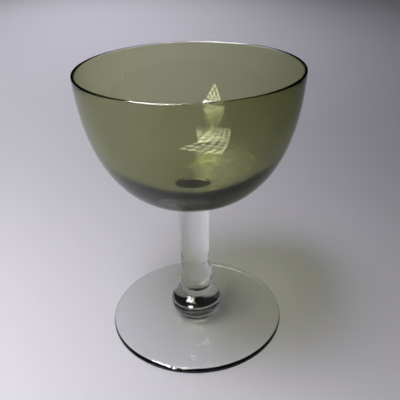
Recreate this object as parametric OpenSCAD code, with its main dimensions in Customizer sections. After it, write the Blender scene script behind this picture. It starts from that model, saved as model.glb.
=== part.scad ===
// Champagne coupe: a deep rounded bowl of smoked green glass on a solid clear stem,
// with a flattened ball (the knop) between the stem and a flat round foot.
// Every piece is turned about the Z axis, and the glass stands on z = 0.

/* [Overall] */
// Height of the whole glass, from the table to the rim
total_h = 119; // [105:1:145]
// Diameter across the rim, outside
rim_d = 88; // [74:1:108]
// Diameter of the foot
foot_d = 78.4; // [62:1:96]

/* [Bowl] */
// Height of the bowl, from its joint with the stem to the rim
bowl_h = 54.2; // [46:0.2:66]
// Glass thickness at the rim
lip_wall = 1.2; // [0.9:0.1:2]
// Glass thickness at the bottom of the bowl, over the stem
base_wall = 6.8; // [4:0.2:10]
// Share of the bowl's curve over which the heavy base thins down to the wall
base_fade = 0.64; // [0.4:0.02:0.9]
// How far the bottom of the bowl runs out level before it turns up
belly_reach = 23; // [16:0.2:28]
// How far down from the rim the side stays almost upright
side_drop = 29.6; // [24:0.2:36]
// How much the rim opens outwards over that upright side
rim_flare = 0.9; // [0:0.1:3]

/* [Stem] */
// Diameter of the stem along its straight part
stem_d = 13; // [10:0.2:14]
// Diameter of the stem where it spreads to meet the bowl
stem_top_d = 15.6; // [14.2:0.2:20]
// Height of that spread
stem_top_h = 5; // [3:0.5:8]
// Diameter of the swelling at the bottom of the stem
heel_d = 14.9; // [14:0.1:20]
// Height of the swelling's widest point above the neck
heel_rise = 4.2; // [2.5:0.1:6]
// Height over which the swelling tapers into the straight stem
heel_taper = 11.5; // [6:0.5:16]

/* [Knop] */
// Diameter of the knop
knop_d = 23.2; // [19.4:0.2:30]
// Height of the full ball that the knop is cut from
knop_ball_h = 14; // [11:0.2:17]
// Diameter of the flat seat where the knop is joined to the foot
seat_d = 18.5; // [14:0.1:19.2]
// Diameter of the neck, where the knop is joined to the stem
neck_d = 13.2; // [10:0.2:13.8]
// How far the round blend from the ball to the neck spreads out over the ball
neck_spread = 1.6; // [0.8:0.1:2.4]
// Height of the neck above the ball's widest point
neck_rise = 8.5; // [8.4:0.1:12]

/* [Foot] */
// Thickness of the foot's rounded edge
edge_t = 3.1; // [2:0.1:4]
// Height that the top of the foot rises from its edge to the seat
foot_rise = 2.4; // [0.8:0.1:3.4]
// How far out from the seat most of that rise happens
rise_reach = 3.5; // [1.5:0.5:10]
// Diameter of the shallow hollow under the foot
hollow_d = 54; // [30:1:56]
// Depth of that hollow at its middle
hollow_depth = 0.7; // [0.2:0.1:1.2]

/* [Hidden] */
smoke_green = [0.24, 0.28, 0.14];
clear_glass = [0.86, 0.88, 0.86];
facets = 96;
bowl_steps = 36;
turn_steps = 14;
// Share of a short curve's height over which each of its ends runs straight
ease = 0.45;
// The same for the underside of the stem's swelling, which turns more sharply
heel_ease = 0.25;
// Heights of the three joints, and of the knop's widest point
seat_z = edge_t + foot_rise;
knop_z = seat_z + knop_ball_h / 2 * sqrt(1 - pow(seat_d / knop_d, 2));
neck_z = knop_z + neck_rise;
bowl_z = total_h - bowl_h;
// The lip is a half circle, so the sides end this far below the rim
lip_drop = lip_wall / 2 * (1 + rim_flare / norm([rim_flare, side_drop]));

// A point on the cubic curve from a to d that b and c pull on, at t from 0 to 1
function bezier(a, b, c, d, t) =
    pow(1 - t, 3) * a + 3 * pow(1 - t, 2) * t * b + 3 * (1 - t) * t * t * c + t * t * t * d;

// The direction of that curve at t
function bezier_slope(a, b, c, d, t) =
    pow(1 - t, 2) * (b - a) + 2 * (1 - t) * t * (c - b) + t * t * (d - c);

// The points of that curve, both ends included
function curve(a, b, c, d) = [for (i = [0 : turn_steps]) bezier(a, b, c, d, i / turn_steps)];

// A curve that leaves a and reaches b upright, running straight over that share of its height
function upright_curve(a, b, share) = let (run = [0, share * (b[1] - a[1])])
    curve(a, a + run, b - run, b);

// The unit vector square to v, on its left
function left_of(v) = [-v[1], v[0]] / norm(v);

// A smooth step down from 1 at u = 0 to 0 at u = 1, and 0 beyond
function fade(u) = u >= 1 ? 0 : 1 - u * u * (3 - 2 * u);

// The four points that shape the outside of the bowl, from its joint to its lip
joint_edge = [stem_top_d / 2, bowl_z];
lip_edge = [rim_d / 2, total_h - lip_drop];
belly_pull = joint_edge + [belly_reach, 0];
side_pull = lip_edge - [rim_flare, side_drop];
function bowl_outside(t) = bezier(joint_edge, belly_pull, side_pull, lip_edge, t);

// The inside lies one wall thickness away from the outside, square to it
function bowl_wall(t) = lip_wall + (base_wall - lip_wall) * fade(t / base_fade);
function bowl_inside(t) = bowl_outside(t)
    + bowl_wall(t) * left_of(bezier_slope(joint_edge, belly_pull, side_pull, lip_edge, t));

// Turns an outline of [radius, height] points about the Z axis
module turned(outline) {
    rotate_extrude($fn = facets) polygon(outline);
}

module bowl() {
    lip_middle = (bowl_outside(1) + bowl_inside(1)) / 2;
    outwards = bowl_outside(1) - lip_middle;
    upwards = left_of(outwards) * norm(outwards);
    outside = [for (i = [0 : bowl_steps]) bowl_outside(i / bowl_steps)];
    lip = [for (i = [1 : turn_steps - 1]) let (a = 180 * i / turn_steps)
        lip_middle + outwards * cos(a) + upwards * sin(a)];
    inside = [for (i = [bowl_steps : -1 : 0]) bowl_inside(i / bowl_steps)];
    color(smoke_green)
        turned(concat([[0, bowl_z]], outside, lip, inside, [[0, bowl_z + base_wall]]));
}

module stem() {
    heel = [heel_d / 2, neck_z + heel_rise];
    underside = upright_curve([neck_d / 2, neck_z], heel, heel_ease);
    taper = upright_curve(heel, [stem_d / 2, heel[1] + heel_taper], ease);
    spread_start = [stem_d / 2, bowl_z - stem_top_h];
    spread = curve(spread_start, spread_start + [0, ease * stem_top_h],
        joint_edge - [(stem_top_d - stem_d) / 4, (1 - ease) * stem_top_h / 2], joint_edge);
    color(clear_glass)
        turned(concat([[0, neck_z]], underside, [for (i = [1 : turn_steps]) taper[i]],
            spread, [[0, bowl_z]]));
}

module knop() {
    // Angles on the ball, up from its widest point, where the seat and the blend cut it
    seat_a = -acos(seat_d / knop_d);
    blend_a = acos((neck_d / 2 + neck_spread) / (knop_d / 2));
    ball = [for (i = [0 : 2 * turn_steps]) let (a = seat_a + (blend_a - seat_a) * i / (2 * turn_steps))
        [knop_d / 2 * cos(a), knop_z + knop_ball_h / 2 * sin(a)]];
    blend_start = ball[2 * turn_steps];
    slope = knop_ball_h / knop_d * cos(blend_a) / sin(blend_a);
    corner = [neck_d / 2, blend_start[1] + neck_spread * slope];
    neck_top = [neck_d / 2, neck_z];
    blend = curve(blend_start, corner, corner, neck_top);
    color(clear_glass)
        turned(concat([[0, seat_z]], ball, [for (i = [1 : turn_steps]) blend[i]], [[0, neck_z]]));
}

module foot() {
    seat_edge = [seat_d / 2, seat_z];
    edge_middle = [(foot_d - edge_t) / 2, edge_t / 2];
    edge = [for (i = [0 : turn_steps]) let (a = 180 * i / turn_steps - 90)
        edge_middle + edge_t / 2 * [cos(a), sin(a)]];
    top_edge = edge[turn_steps];
    top = curve(top_edge, [seat_edge[0] + 2 * rise_reach, edge_t],
        [seat_edge[0] + rise_reach, edge_t], seat_edge);
    hollow = [for (i = [0 : turn_steps]) let (u = i / turn_steps)
        [hollow_d / 2 * u, hollow_depth * (1 - u * u)]];
    color(clear_glass)
        turned(concat(hollow, edge, [for (i = [1 : turn_steps]) top[i]], [[0, seat_z]]));
}

bowl();
stem();
knop();
foot();
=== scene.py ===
# %% [markdown]
# # A champagne coupe in smoked green and clear glass
#
# This lesson builds the looks of a stemmed glass around a finished technical model. The
# model holds every size, so the first step loads it and reads the sizes back. Nothing in
# it is moved: each piece of glass gets a smoother twin that lies in exactly the same place.

# %% Load the fixed frame
import math

import bmesh
import bpy
from mathutils import Matrix, Vector
from mathutils.geometry import interpolate_bezier


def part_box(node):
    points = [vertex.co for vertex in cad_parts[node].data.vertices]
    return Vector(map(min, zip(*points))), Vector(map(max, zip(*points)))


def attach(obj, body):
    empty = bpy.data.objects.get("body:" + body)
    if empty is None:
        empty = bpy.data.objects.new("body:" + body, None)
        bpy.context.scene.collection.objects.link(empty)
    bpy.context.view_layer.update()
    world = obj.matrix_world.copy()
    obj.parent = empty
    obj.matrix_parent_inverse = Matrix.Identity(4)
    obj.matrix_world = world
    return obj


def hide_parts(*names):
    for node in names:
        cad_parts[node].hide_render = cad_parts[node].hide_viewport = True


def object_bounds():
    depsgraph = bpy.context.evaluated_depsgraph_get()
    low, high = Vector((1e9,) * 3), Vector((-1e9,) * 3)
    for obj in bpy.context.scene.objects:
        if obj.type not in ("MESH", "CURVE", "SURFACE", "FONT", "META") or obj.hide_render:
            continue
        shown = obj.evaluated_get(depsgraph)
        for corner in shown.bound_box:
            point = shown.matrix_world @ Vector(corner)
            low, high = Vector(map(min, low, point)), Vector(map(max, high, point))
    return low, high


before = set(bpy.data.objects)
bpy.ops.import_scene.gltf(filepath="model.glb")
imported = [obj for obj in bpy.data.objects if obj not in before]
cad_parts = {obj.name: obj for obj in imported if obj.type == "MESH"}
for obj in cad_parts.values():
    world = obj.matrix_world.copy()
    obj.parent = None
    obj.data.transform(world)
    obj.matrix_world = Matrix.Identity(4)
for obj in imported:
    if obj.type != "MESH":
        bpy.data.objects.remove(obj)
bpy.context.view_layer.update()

MM = 0.001
print("nodes:", ", ".join(sorted(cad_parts)))

# %% [markdown]
# ## Sizes
#
# A turned glass needs only radii and heights. The heights of the three joints and the
# overall sizes come from the frame, so they can't drift from the technical model. The
# sizes that a box can't tell, such as wall thickness and how a curve is pulled, are
# named with their piece and have the values of the design.

# %% Read the sizes of the four pieces
foot_low, foot_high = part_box("foot")
knop_low, knop_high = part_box("knop")
bowl_low, bowl_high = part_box("bowl")
SEAT_Z = foot_high.z
NECK_Z = knop_high.z
BOWL_Z = bowl_low.z
RIM_Z = bowl_high.z
RIM_R = bowl_high.x
FOOT_R = foot_high.x
KNOP_R = knop_high.x

print(f"rim {RIM_R * 2 / MM:.1f} mm across, {RIM_Z / MM:.1f} mm high, "
      f"joints at {SEAT_Z / MM:.1f}, {NECK_Z / MM:.1f} and {BOWL_Z / MM:.1f} mm")

# %% [markdown]
# ## How a piece of glass is turned
#
# Blown and drawn glass is round about one axis. A lathe-like spin of one outline is the
# honest way to make it: a sphere or cylinder primitive has the wrong profile, and a
# subdivision surface would pull the walls in and change their thickness. The outline is a
# short chain of points along curves, and Blender's spin operator sweeps it round.
# Glass bends whatever is seen through it, so the steps are fine and the shading smooth.

# %% Outline and spin helpers
SPIN_STEPS = 192
CURVE_POINTS = 24


def flat(point):
    """A 2-D point (radius, height) as a 3-D point in the XZ plane."""
    return Vector((point[0], 0, point[1]))


def curve(start, pull_start, pull_end, end, points=CURVE_POINTS):
    """Points along the cubic curve from start to end, as (radius, height)."""
    ends = [flat(p) for p in (start, pull_start, pull_end, end)]
    return [(p.x, p.z) for p in interpolate_bezier(*ends, points)]


def upright_curve(start, end, share):
    """A curve that leaves start and reaches end upright."""
    run = share * (end[1] - start[1])
    return curve(start, (start[0], start[1] + run), (end[0], end[1] - run), end)


def arc(middle, radius, first, last, height=None, points=CURVE_POINTS):
    """Points on a circle, or on an ellipse of another height, between two angles."""
    height = height or radius
    angles = [first + (last - first) * i / (points - 1) for i in range(points)]
    return [(middle[0] + radius * math.cos(a), middle[1] + height * math.sin(a)) for a in angles]


def turned(name, outline):
    """Spins an outline that starts and ends on the Z axis into a closed piece."""
    bm = bmesh.new()
    verts = [bm.verts.new(flat(p)) for p in outline]
    chain = [bm.edges.new(pair) for pair in zip(verts, verts[1:])]
    bmesh.ops.spin(bm, geom=verts + chain, cent=(0, 0, 0), axis=(0, 0, 1),
                   angle=math.tau, steps=SPIN_STEPS, use_merge=True)
    bmesh.ops.remove_doubles(bm, verts=bm.verts, dist=0.001 * MM)
    bmesh.ops.recalc_face_normals(bm, faces=bm.faces)
    mesh = bpy.data.meshes.new(name)
    bm.to_mesh(mesh)
    bm.free()
    mesh.shade_smooth()
    mesh.set_sharp_from_angle(angle=math.radians(40))
    piece = bpy.data.objects.new(name, mesh)
    bpy.context.scene.collection.objects.link(piece)
    print(f"{name}: {len(mesh.polygons)} faces")
    return piece


# %% [markdown]
# ## The bowl
#
# The bowl is blown: a heavy gather stays at the bottom while the wall stretches thin
# towards the lip. So the outside is one smooth curve, and the inside lies one wall
# thickness away, square to it, with a thickness that fades from the base to the lip.
# Cutting two separate shapes from each other would be less direct and would leave
# facets. The lip is a half circle, as fire-polishing leaves it.

# %% Sizes of the bowl
JOINT_R = 7.8 * MM
LIP_WALL = 1.2 * MM
BASE_WALL = 6.8 * MM
BASE_FADE = 0.64
BELLY_REACH = 23 * MM
SIDE_DROP = 29.6 * MM
RIM_FLARE = 0.9 * MM
BOWL_POINTS = 56
LIP_DROP = LIP_WALL / 2 * (1 + RIM_FLARE / math.hypot(RIM_FLARE, SIDE_DROP))
joint_edge = Vector((JOINT_R, BOWL_Z))
lip_edge = Vector((RIM_R, RIM_Z - LIP_DROP))
bowl_pulls = (joint_edge, joint_edge + Vector((BELLY_REACH, 0)),
              lip_edge - Vector((RIM_FLARE, SIDE_DROP)), lip_edge)
print(f"wall from {BASE_WALL / MM:.1f} mm at the base to {LIP_WALL / MM:.1f} mm at the lip")


# %% Bowl
def bowl_wall(t):
    """Glass thickness at a share t of the way from the joint to the lip."""
    u = min(t / BASE_FADE, 1)
    return LIP_WALL + (BASE_WALL - LIP_WALL) * (1 - u * u * (3 - 2 * u))


def bowl_slope(t):
    """Direction of the bowl's outer curve."""
    a, b, c, d = bowl_pulls
    return ((1 - t) ** 2 * (b - a) + 2 * (1 - t) * t * (c - b) + t * t * (d - c)).normalized()


bowl_outside = [Vector(p) for p in curve(*bowl_pulls, points=BOWL_POINTS)]
bowl_inside = []
for i, point in enumerate(bowl_outside):
    share = i / (BOWL_POINTS - 1)
    slope = bowl_slope(share)
    bowl_inside.append(point + bowl_wall(share) * Vector((-slope.y, slope.x)))
lip_middle = (bowl_outside[-1] + bowl_inside[-1]) / 2
lip = arc(lip_middle, LIP_WALL / 2, 0, math.pi, points=12)[1:-1]
bowl = turned("bowl_glass", [(0, BOWL_Z)] + [tuple(p) for p in bowl_outside] + lip
              + [tuple(p) for p in reversed(bowl_inside)] + [(0, BOWL_Z + BASE_WALL)])

# %% [markdown]
# ## The layer of colour
#
# The smoky green is not in all of the glass. The bowl is cased: a thin bubble of green
# glass is covered by a thick gather of clear glass before it is blown out. So the colour
# is an even film just under the inside of the bowl, while the heavy base stays clear.
# Green glass all through would turn the base black. The film is a closed body of its
# own, laid a little way inside the clear wall.

# %% Colour layer
LAYER_DEPTH = 0.1 * MM
LAYER_WALL = 0.5 * MM


def layer_side(depth):
    """The bowl's inside moved into the glass by a depth, from the rim to the middle."""
    side = []
    for i, point in enumerate(bowl_inside):
        slope = bowl_slope(i / (BOWL_POINTS - 1))
        side.append(tuple(point - depth * Vector((-slope.y, slope.x))))
    return side


inner_side = layer_side(LAYER_DEPTH)
outer_side = layer_side(LAYER_DEPTH + LAYER_WALL)
layer_floor = BOWL_Z + BASE_WALL - LAYER_DEPTH
layer = turned("bowl_colour", [(0, layer_floor - LAYER_WALL)] + outer_side
               + inner_side[::-1] + [(0, layer_floor)])

# %% [markdown]
# ## The stem
#
# The stem is a solid rod of clear glass. It is drawn down from a small swelling at its
# heel, and spreads a little where it is welded to the bowl. At each weld the glass is
# one body with no surface in it. Two closed meshes that only touch would show a bright
# disc there, because light leaves one and enters the other. So the stem reaches a
# hair's breadth into its neighbours, and light passes straight through.

# %% Stem
FUSE = 0.05 * MM
STEM_R = 6.5 * MM
SPREAD_H = 5 * MM
HEEL_R = 7.45 * MM
HEEL_RISE = 4.2 * MM
HEEL_TAPER = 11.5 * MM
NECK_R = 6.6 * MM
EASE = 0.45
HEEL_EASE = 0.25
heel = (HEEL_R, NECK_Z + HEEL_RISE)
taper_end = (STEM_R, heel[1] + HEEL_TAPER)
spread_start = (STEM_R, BOWL_Z - SPREAD_H)
spread_pull = ((JOINT_R + STEM_R) / 2, BOWL_Z - (1 - EASE) * SPREAD_H / 2)
spread = curve(spread_start, (STEM_R, spread_start[1] + EASE * SPREAD_H), spread_pull,
               (JOINT_R, BOWL_Z))
stem = turned("stem_glass", [(0, NECK_Z - FUSE), (NECK_R - FUSE, NECK_Z - FUSE)]
              + upright_curve((NECK_R, NECK_Z), heel, HEEL_EASE)
              + upright_curve(heel, taper_end, EASE)[1:] + spread
              + [(JOINT_R - FUSE, BOWL_Z + FUSE), (0, BOWL_Z + FUSE)])

# %% [markdown]
# ## The knop
#
# A knop is a ball of glass pressed flat while soft. A squashed sphere would do for the
# ball alone, but the knop is also cut level where it sits on the foot, and it blends
# round into its neck. So its outline is part of an ellipse, with a curve on top, and it
# is spun like the others. Its strong curves are what turn the dark room into the black
# band that every clear knop shows.

# %% Knop
SEAT_R = 9.25 * MM
NECK_SPREAD = 1.6 * MM
KNOP_BALL_R = 7 * MM
KNOP_Z = SEAT_Z + KNOP_BALL_R * math.sqrt(1 - (SEAT_R / KNOP_R) ** 2)
seat_angle = -math.acos(SEAT_R / KNOP_R)
blend_angle = math.acos((NECK_R + NECK_SPREAD) / KNOP_R)
ball = arc((0, KNOP_Z), KNOP_R, seat_angle, blend_angle, height=KNOP_BALL_R, points=48)
ball_slope = KNOP_BALL_R / KNOP_R / math.tan(blend_angle)
blend_corner = (NECK_R, ball[-1][1] + NECK_SPREAD * ball_slope)
neck_blend = curve(ball[-1], blend_corner, blend_corner, (NECK_R, NECK_Z))
knop = turned("knop_glass", [(0, SEAT_Z - FUSE), (SEAT_R - FUSE, SEAT_Z - FUSE)] + ball
              + neck_blend[1:] + [(0, NECK_Z)])

# %% [markdown]
# ## The foot
#
# The foot is a disc, spun out while hot, with a rounded edge. Its top climbs to the
# knop, and a shallow hollow underneath lets it stand on a ring. A flat cylinder with a
# bevel would lack both. The hollow matters for the looks as well: a disc flat against the
# table would show the table as if painted on its back.

# %% Foot
EDGE_R = 1.55 * MM
RISE_REACH = 3.5 * MM
HOLLOW_R = 27 * MM
HOLLOW_DEPTH = 0.7 * MM
edge_middle = (FOOT_R - EDGE_R, EDGE_R)
edge = arc(edge_middle, EDGE_R, -math.pi / 2, math.pi / 2, points=20)
foot_top = curve(edge[-1], (SEAT_R + 2 * RISE_REACH, 2 * EDGE_R),
                 (SEAT_R + RISE_REACH, 2 * EDGE_R), (SEAT_R, SEAT_Z), points=40)
hollow = [(HOLLOW_R * u, HOLLOW_DEPTH * (1 - u * u)) for u in [i / 24 for i in range(25)]]
foot = turned("foot_glass", hollow + edge + foot_top[1:] + [(0, SEAT_Z)])

# %% [markdown]
# ## Seed bubbles
#
# Handmade glass traps a few tiny bubbles, called seeds. Each is a hollow in the glass,
# so its surface bends light the other way: the same shader with the ratio upside down.
# They are real little balls inside the stem, not a painted spot.

# %% Seeds in the stem
SEEDS = [  # (right, back, height, radius), in millimetres
    (2.6, -1.2, 30.6, 0.34),
    (4.1, 0.6, 32.2, 0.2),
    (-1.5, 1.8, 47.5, 0.16),
    (0.9, -2.2, 24.6, 0.14),
]


def seed_bubbles(name, seeds):
    """One piece that holds every seed."""
    bm = bmesh.new()
    for right, back, height, radius in seeds:
        place = Matrix.Translation(Vector((right, back, height)) * MM)
        bmesh.ops.create_icosphere(bm, subdivisions=3, radius=radius * MM, matrix=place)
    mesh = bpy.data.meshes.new(name)
    bm.to_mesh(mesh)
    bm.free()
    mesh.shade_smooth()
    piece = bpy.data.objects.new(name, mesh)
    bpy.context.scene.collection.objects.link(piece)
    return piece


seeds = seed_bubbles("stem_seeds", SEEDS)
print("seeds:", len(SEEDS))

# %% [markdown]
# ## Smears and waves
#
# A perfectly smooth, perfectly even surface looks like a computer's lens. Real glass has
# been blown, wiped and handled. Two noise patterns say so: one varies the roughness in
# soft smears, and a much broader one tilts the surface so little that only straight
# lines seen through the glass give it away. Both read the piece's own coordinates, so
# they stay on it from every side. A painted picture would not fit a turned shape.

# %% Smears and waves
def handled_roughness(tree, place, most):
    """Roughness in soft smears, from none up to the most."""
    smears = tree.nodes.new("ShaderNodeTexNoise")
    smears.inputs["Scale"].default_value = 60
    smears.inputs["Detail"].default_value = 3
    handled = tree.nodes.new("ShaderNodeMapRange")
    handled.inputs["From Min"].default_value = 0.45
    handled.inputs["From Max"].default_value = 0.8
    handled.inputs["To Min"].default_value = 0
    handled.inputs["To Max"].default_value = most
    tree.links.new(place.outputs["Object"], smears.inputs["Vector"])
    tree.links.new(smears.outputs["Fac"], handled.inputs["Value"])
    return handled.outputs["Result"]


def wavy_surface(tree, place, height, size):
    """Surface direction of glass that waves by a height over a size."""
    waves = tree.nodes.new("ShaderNodeTexNoise")
    waves.inputs["Scale"].default_value = 1 / size
    waves.inputs["Detail"].default_value = 1
    bump = tree.nodes.new("ShaderNodeBump")
    bump.inputs["Strength"].default_value = 1
    bump.inputs["Distance"].default_value = height
    tree.links.new(place.outputs["Object"], waves.inputs["Vector"])
    tree.links.new(waves.outputs["Fac"], bump.inputs["Height"])
    return bump.outputs["Normal"]


# %% [markdown]
# ## Lamp light through glass
#
# Real glass bends lamp light on its way to the table. A renderer that follows rays back
# from the eye rarely finds such a bent way by chance, so the shadow comes out too dark
# and grainy. The usual answer is a stand-in for those rays only: on its way to a lamp, a
# ray goes straight through the glass, as through a window. It still loses what the skin
# mirrors, more at a slant, and what the depth absorbs. So the shadow of the bowl is a
# soft olive tone.

# %% Stand-in for rays on their way to a lamp
def straight_glass(tree, ior, share):
    """A window that passes on a share of the light, and less of it at a slant."""
    slant = tree.nodes.new("ShaderNodeLayerWeight")
    slant.inputs["Blend"].default_value = 0.5
    steep = tree.nodes.new("ShaderNodeMath")
    steep.operation = "POWER"
    steep.inputs[1].default_value = 5
    pass_on = tree.nodes.new("ShaderNodeMapRange")
    pass_on.inputs["To Min"].default_value = share * (1 - ((ior - 1) / (ior + 1)) ** 2)
    pass_on.inputs["To Max"].default_value = 1 if ior == 1 else 0
    window_shader = tree.nodes.new("ShaderNodeBsdfTransparent")
    tree.links.new(slant.outputs["Facing"], steep.inputs[0])
    tree.links.new(steep.outputs["Value"], pass_on.inputs["Value"])
    tree.links.new(pass_on.outputs["Result"], window_shader.inputs["Color"])
    return window_shader.outputs["BSDF"]


def with_stand_in(tree, glass, stand_in):
    """The glass, with the stand-in for rays to a lamp from the glass or from the table."""
    path = tree.nodes.new("ShaderNodeLightPath")
    for kind in ("Is Shadow Ray", "Is Diffuse Ray"):
        mix = tree.nodes.new("ShaderNodeMixShader")
        tree.links.new(path.outputs[kind], mix.inputs["Fac"])
        tree.links.new(glass, mix.inputs[1])
        tree.links.new(stand_in, mix.inputs[2])
        glass = mix.outputs["Shader"]
    return glass


# %% [markdown]
# ## The glass itself
#
# The surface of glass has no colour of its own. A Volume Absorption node colours the
# light by the distance that it travels, so a slanting look through a wall is darker than
# a straight one. A tinted surface couldn't do that.
#
# The clear glass hardly absorbs. The layer of colour is the same glass as the wall
# around it, so its index is 1: light isn't bent or mirrored where it enters the layer,
# and only loses red and green, and most of its blue. A seed is air inside glass, so its
# index is the glass's turned upside down. The solid stem and knop spread lamp light more
# than a thin wall does, so less of it goes straight through them.

# %% Glass materials
GLASS_IOR = 1.5
CLEAR_TINT = (0.55, 0.7, 0.5)
CLEAR_DENSITY = 6
LAYER_TINT = (0.44, 0.47, 0.0)
LAYER_DENSITY = 2000
WAVE_SIZE = 14 * MM


def glass_material(name, tint, density, ior, wave=0.0, rough=0.0, straight_share=1.0):
    """Glass that is coloured by its depth. Density is in parts per metre."""
    material = bpy.data.materials.new(name)
    material.use_nodes = True
    tree = material.node_tree
    shader = tree.nodes["Principled BSDF"]
    shader.inputs["Base Color"].default_value = (1, 1, 1, 1)
    shader.inputs["Transmission Weight"].default_value = 1
    shader.inputs["IOR"].default_value = ior
    place = tree.nodes.new("ShaderNodeTexCoord")
    tree.links.new(handled_roughness(tree, place, rough), shader.inputs["Roughness"])
    tree.links.new(wavy_surface(tree, place, wave, WAVE_SIZE), shader.inputs["Normal"])
    skin = with_stand_in(tree, shader.outputs["BSDF"], straight_glass(tree, ior, straight_share))
    output = tree.nodes["Material Output"]
    tree.links.new(skin, output.inputs["Surface"])
    if density:
        depth = tree.nodes.new("ShaderNodeVolumeAbsorption")
        depth.inputs["Color"].default_value = (*tint, 1)
        depth.inputs["Density"].default_value = density
        tree.links.new(depth.outputs["Volume"], output.inputs["Volume"])
    return material


clear = glass_material("thin_clear_glass", CLEAR_TINT, CLEAR_DENSITY, GLASS_IOR, 0.015 * MM, 0.012)
solid_clear = glass_material("solid_clear_glass", CLEAR_TINT, CLEAR_DENSITY, GLASS_IOR,
                             0.015 * MM, 0.012, straight_share=0.82)
smoke_green = glass_material("smoke_green_layer", LAYER_TINT, LAYER_DENSITY, 1)
air = glass_material("seed_air", (1, 1, 1), 0, 1 / GLASS_IOR)
print("glass:", ", ".join(m.name for m in (clear, solid_clear, smoke_green, air)))

# %% [markdown]
# ## Put the glass on its frame
#
# Every piece takes its glass, rides on the glass's one body, and hides the technical piece that it
# stands in for.

# %% Dress and attach the pieces
for piece, node, material, slot in (
    (bowl, "bowl", clear, "clear_glass"),
    (layer, "bowl", smoke_green, "smoke_green_glass"),
    (stem, "stem", solid_clear, "clear_glass"),
    (knop, "knop", solid_clear, "clear_glass"),
    (foot, "foot", clear, "clear_glass"),
):
    piece.data.materials.append(material)
    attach(piece, "root")
    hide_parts(node)
seeds.data.materials.append(air)
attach(seeds, "root")
low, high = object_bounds()
print("dressed glass:", [round((b - a) / MM, 2) for a, b in zip(low, high)], "mm")

# %% [markdown]
# ## A plain pale table
#
# Glass shows its surroundings more than itself, so the stage is part of the look. A pale
# table reaches past the edges of the view, and the room beyond it stays dark: clear glass
# turns that dark into the black lines that draw its rim, its knop and its edges.

# %% Table
FLOOR_Z = -0.1 * MM
FLOOR_SIZE = 4.0


def table_top(name):
    """A flat square that faces up."""
    bm = bmesh.new()
    bmesh.ops.create_grid(bm, x_segments=1, y_segments=1, size=FLOOR_SIZE / 2,
                          matrix=Matrix.Translation((0, 0, FLOOR_Z)))
    mesh = bpy.data.meshes.new(name)
    bm.to_mesh(mesh)
    bm.free()
    piece = bpy.data.objects.new(name, mesh)
    bpy.context.scene.collection.objects.link(piece)
    return piece


def paper_material():
    """Matt pale grey paper with the least tone in it."""
    material = bpy.data.materials.new("pale_paper")
    material.use_nodes = True
    nodes, links = material.node_tree.nodes, material.node_tree.links
    shader = nodes["Principled BSDF"]
    shader.inputs["Roughness"].default_value = 0.9
    shader.inputs["Specular IOR Level"].default_value = 0.2
    place = nodes.new("ShaderNodeTexCoord")
    cloud = nodes.new("ShaderNodeTexNoise")
    cloud.inputs["Scale"].default_value = 3
    tone = nodes.new("ShaderNodeMix")
    tone.data_type = "RGBA"
    tone.inputs["A"].default_value = (0.70, 0.68, 0.75, 1)
    tone.inputs["B"].default_value = (0.74, 0.72, 0.79, 1)
    links.new(place.outputs["Object"], cloud.inputs["Vector"])
    links.new(cloud.outputs["Fac"], tone.inputs["Factor"])
    links.new(tone.outputs["Result"], shader.inputs["Base Color"])
    return material


floor = table_top("floor")
floor.data.materials.append(paper_material())
print(f"table: {FLOOR_SIZE} m square")

# %% [markdown]
# ## Light
#
# Two broad lamps light the table. The key hangs to the left and a little in front, so
# the shadow falls to the right. The back lamp brightens the far side. Both shine in a
# narrow cone, so the table grows dark towards the far right corner.

# %% Lamps
def area_light(name, place, aim, width, height, power, turn=0, spread=180):
    """A rectangular lamp at place that faces aim, turned about its own axis."""
    data = bpy.data.lights.new(name, "AREA")
    data.shape = "RECTANGLE"
    data.size = width
    data.size_y = height
    data.energy = power
    data.spread = math.radians(spread)
    light = bpy.data.objects.new(name, data)
    facing = (Vector(aim) - Vector(place)).to_track_quat("-Z", "Y").to_matrix().to_4x4()
    light.matrix_world = (Matrix.Translation(place) @ facing
                          @ Matrix.Rotation(math.radians(turn), 4, "Z"))
    bpy.context.scene.collection.objects.link(light)
    return light


key = area_light("key", (-0.315, -0.251, 0.751), (-0.316, -0.221, 0),
                 width=0.5, height=0.5, power=2.28, spread=70)
key.data.color = (1, 0.99, 0.98)
back = area_light("back", (-0.346, 0.703, 0.554), (-0.128, 0.715, 0),
                  width=1.0, height=0.6, power=1.63, spread=81)
back.data.color = (0.97, 0.97, 1)

# %% [markdown]
# ## Lamps to be mirrored
#
# Glass is drawn by what it mirrors. Two panels of many small round lamps hang to the
# left, one high and one low, and their grids show in the bowl. A lamp's own surface has
# coordinates from 0 to 1, which are cut into cells with a dot in each. The panels are
# there for their reflections only, so they don't light the table.

# %% Lamp panels
DOT_R = 0.38
DOT_BLUR = 0.05


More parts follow.
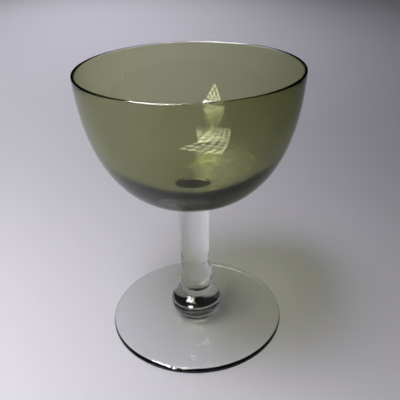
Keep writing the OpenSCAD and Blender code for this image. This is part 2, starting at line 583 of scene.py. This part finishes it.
def lamp_grid(light, columns, rows):
    """Turns a plain panel into a grid of small round lamps."""
    light.data.use_nodes = True
    tree = light.data.node_tree
    spot = tree.nodes.new("ShaderNodeNewGeometry")
    grid = tree.nodes.new("ShaderNodeVectorMath")
    grid.operation = "MULTIPLY"
    grid.inputs[1].default_value = (columns, rows, 0)
    cell = tree.nodes.new("ShaderNodeVectorMath")
    cell.operation = "FRACTION"
    centred = tree.nodes.new("ShaderNodeVectorMath")
    centred.operation = "SUBTRACT"
    centred.inputs[1].default_value = (0.5, 0.5, 0)
    away = tree.nodes.new("ShaderNodeVectorMath")
    away.operation = "LENGTH"
    dot = tree.nodes.new("ShaderNodeMapRange")
    dot.inputs["From Min"].default_value = DOT_R - DOT_BLUR
    dot.inputs["From Max"].default_value = DOT_R + DOT_BLUR
    dot.inputs["To Min"].default_value = 2.3
    dot.inputs["To Max"].default_value = 0
    tree.links.new(spot.outputs["Parametric"], grid.inputs[0])
    tree.links.new(grid.outputs["Vector"], cell.inputs[0])
    tree.links.new(cell.outputs["Vector"], centred.inputs[0])
    tree.links.new(centred.outputs["Vector"], away.inputs[0])
    tree.links.new(away.outputs["Value"], dot.inputs["Value"])
    tree.links.new(dot.outputs["Result"], tree.nodes["Emission"].inputs["Strength"])


high_panel = area_light("high_panel", (-0.16, -0.01, 0.5), (-0.16, -0.01, 0),
                        width=0.46, height=0.24, power=7.5, turn=53)
low_panel = area_light("low_panel", (-0.414, -0.717, 0.442), (0, 0, 0.09),
                       width=0.36, height=0.36, power=9, turn=45)
lamp_grid(high_panel, 9, 5)
lamp_grid(low_panel, 7, 7)
for panel in (high_panel, low_panel):
    panel.visible_diffuse = False
print("lamps:", ", ".join(f"{o.name} {o.data.energy} W" for o in (key, back, high_panel, low_panel)))

# %% [markdown]
# ## The dark room
#
# The room around the table gives next to no light. Its tone only keeps the black lines
# in the glass from being empty.

# %% World and tone
world = bpy.data.worlds.new("room")
bpy.context.scene.world = world
world.use_nodes = True
room = world.node_tree.nodes["Background"]
room.inputs["Color"].default_value = (0.8, 0.8, 0.85, 1)
room.inputs["Strength"].default_value = 0.007
bpy.context.scene.view_settings.view_transform = "Standard"

# %% [markdown]
# ## Camera
#
# The view is from a standing person's eye, close and looking down, with the camera
# hand-held and a touch off level. The lens is a little longer than a phone's, so that
# the foot looks nearly as wide as it is.

# %% Camera
PITCH = math.radians(28.5)
YAW = math.radians(0.78)
ROLL = math.radians(-1.49)
camera_data = bpy.data.cameras.new("camera")
camera_data.sensor_width = 36
camera_data.lens = 48.8
camera_data.clip_start = 0.01
camera = bpy.data.objects.new("camera", camera_data)
camera.matrix_world = (Matrix.Translation((0, -0.2031, 0.1720)) @ Matrix.Rotation(-YAW, 4, "Z")
                       @ Matrix.Rotation(math.pi / 2 - PITCH, 4, "X") @ Matrix.Rotation(ROLL, 4, "Z"))
bpy.context.scene.collection.objects.link(camera)
bpy.context.scene.camera = camera
print(f"camera: {camera_data.lens} mm lens, {math.degrees(PITCH):.1f} degrees down")
